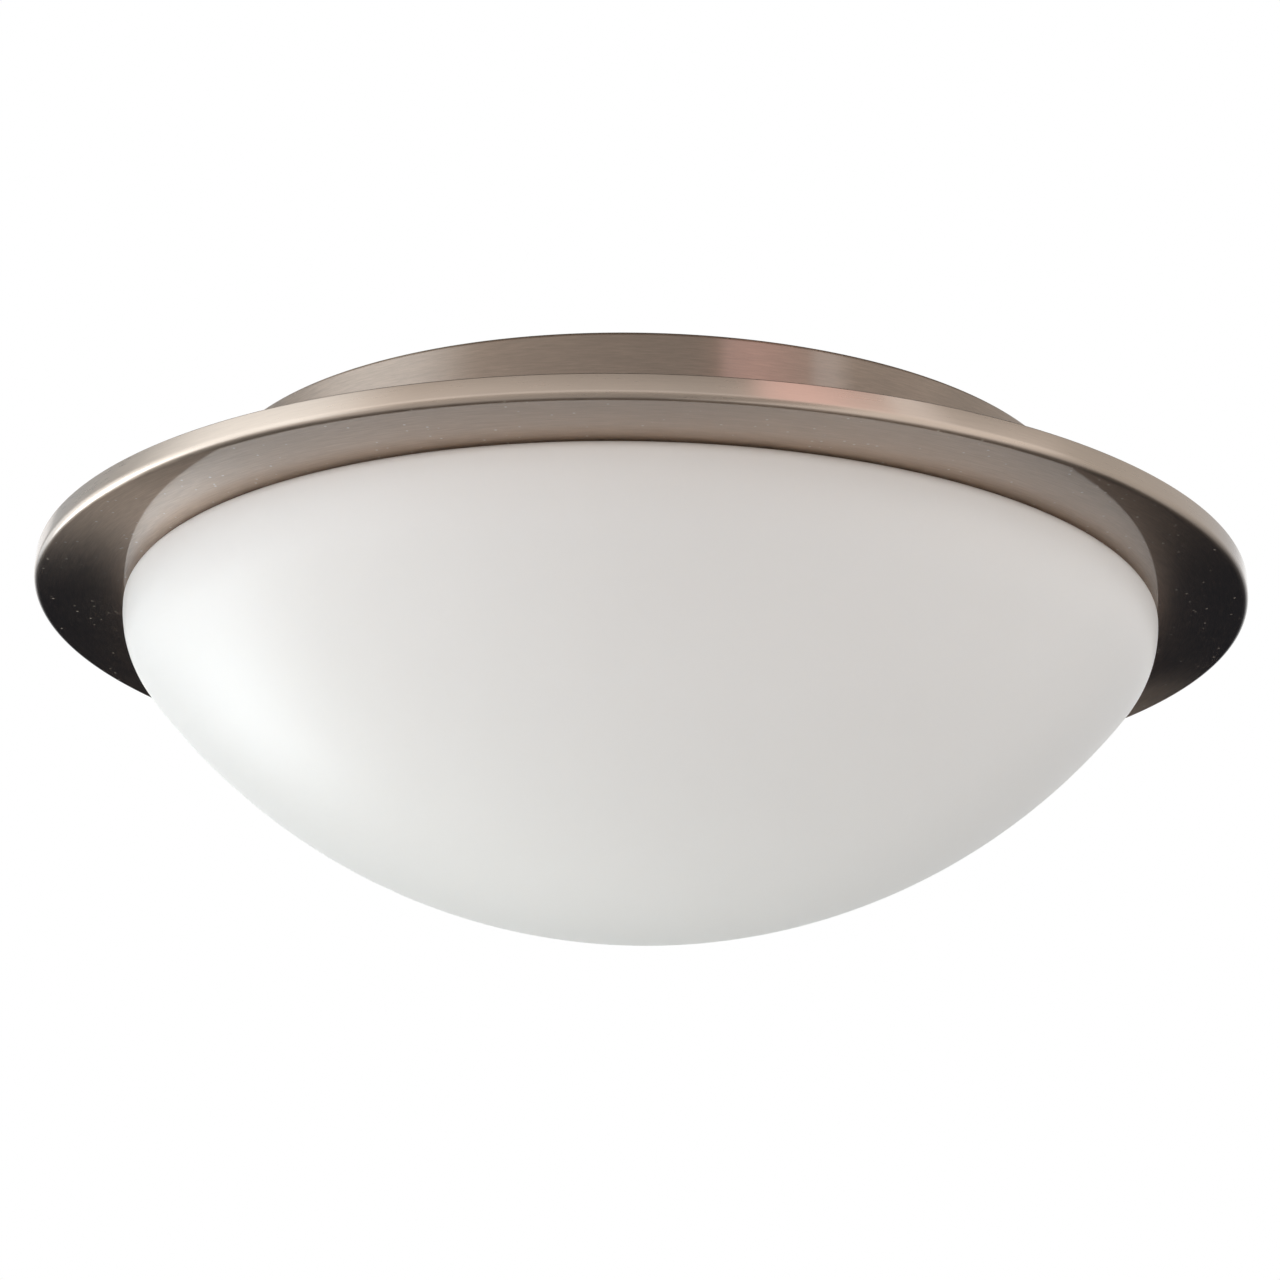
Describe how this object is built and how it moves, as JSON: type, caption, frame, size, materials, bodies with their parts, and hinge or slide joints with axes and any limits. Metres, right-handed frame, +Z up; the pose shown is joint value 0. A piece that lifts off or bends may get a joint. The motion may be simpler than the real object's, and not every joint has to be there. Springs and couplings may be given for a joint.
{
  "type": "flush mount ceiling light",
  "caption": "Round flush ceiling light: brushed metal pan with a wide upturned brim and a shallow opal glass bowl that twists off to reach its screw lamps.",
  "frame": {"origin": "middle of the pan's back in the ceiling plane, halfway between the two ceiling screw slots", "axes": "+Z up into the ceiling, along the pan's axis; the two screw slots lie along Y; the lamps lie along X"},
  "size_m": [0.39, 0.39, 0.1431],
  "materials": {
    "brushed_nickel": "satin nickel plate, brushed round the pan",
    "opal_glass": "satin white opal glass, opaque",
    "spring_steel": "bare spring steel",
    "zinc_steel": "bright zinc plate",
    "sleeve_silicone": "translucent white silicone",
    "grommet_rubber": "matte black rubber",
    "block_nylon": "off-white moulded nylon",
    "brass": "bright brass",
    "tinned_copper": "tinned",
    "green_screw": "green passivated",
    "lead_live": "brown insulation",
    "lead_neutral": "blue insulation",
    "lead_earth": "green and yellow insulation",
    "holder_ceramic": "white glazed",
    "shell_metal": "nickel-plated brass",
    "solder": "solder button",
    "cap_insulator": "black glass",
    "cap_aluminium": "rolled aluminium",
    "bulb_glass": "soft white coated glass"
  },
  "bodies": {
    "fixture": {"ceiling_pan": "brushed_nickel", "cable_grommet": "grommet_rubber", "terminal_block": "block_nylon", "terminal_tubes": "brass", "terminal_screws": "zinc_steel", "block_screws": "zinc_steel", "earth_lug": "tinned_copper", "earth_washer": "zinc_steel", "earth_screw": "green_screw", "earth_lead": "lead_earth", "live_lead_1": "lead_live", "live_lead_2": "lead_live", "neutral_lead_1": "lead_neutral", "neutral_lead_2": "lead_neutral", "clip_rivets": "zinc_steel", "bracket_rivets": "zinc_steel", "lampholder_screws": "zinc_steel", "glass_clip_1": "spring_steel", "clip_sleeve_1": "sleeve_silicone", "glass_clip_2": "spring_steel", "clip_sleeve_2": "sleeve_silicone", "glass_clip_3": "spring_steel", "clip_sleeve_3": "sleeve_silicone", "lampholder_bracket_1": "zinc_steel", "lampholder_body_1": "holder_ceramic", "lampholder_shell_1": "shell_metal", "lampholder_contact_1": "brass", "lampholder_bracket_2": "zinc_steel", "lampholder_body_2": "holder_ceramic", "lampholder_shell_2": "shell_metal", "lampholder_contact_2": "brass"},
    "shade": {"glass_shade": "opal_glass"},
    "lamp_1_travel": {"lamp_tip_1": "solder", "lamp_insulator_1": "cap_insulator"},
    "lamp_1": {"lamp_cap_1": "cap_aluminium", "lamp_bulb_1": "bulb_glass"},
    "lamp_2_travel": {"lamp_tip_2": "solder", "lamp_insulator_2": "cap_insulator"},
    "lamp_2": {"lamp_cap_2": "cap_aluminium", "lamp_bulb_2": "bulb_glass"}
  },
  "joints": [
    {"name": "shade_twist", "type": "hinge", "parent": "fixture", "child": "shade", "pos_m": [0, 0, -0.0431], "axis": [0, 0, -1], "range_deg": [0, 30]},
    {"name": "lamp_1_out", "type": "slide", "parent": "fixture", "child": "lamp_1_travel", "axis": [1, 0, 0], "range_m": [0, 0.02178]},
    {"name": "lamp_1_turn", "type": "hinge", "parent": "lamp_1_travel", "child": "lamp_1", "pos_m": [-0.08, 0.036, -0.05], "axis": [1, 0, 0], "range_deg": [0, 2160]},
    {"name": "lamp_2_out", "type": "slide", "parent": "fixture", "child": "lamp_2_travel", "axis": [-1, 0, 0], "range_m": [0, 0.02178]},
    {"name": "lamp_2_turn", "type": "hinge", "parent": "lamp_2_travel", "child": "lamp_2", "pos_m": [0.08, -0.036, -0.05], "axis": [-1, 0, 0], "range_deg": [0, 2160]}
  ],
  "couplings": [
    {"joint": "lamp_1_out", "follows": "lamp_1_turn", "m_per_rad": 0.00057773},
    {"joint": "lamp_2_out", "follows": "lamp_2_turn", "m_per_rad": 0.00057773}
  ]
}
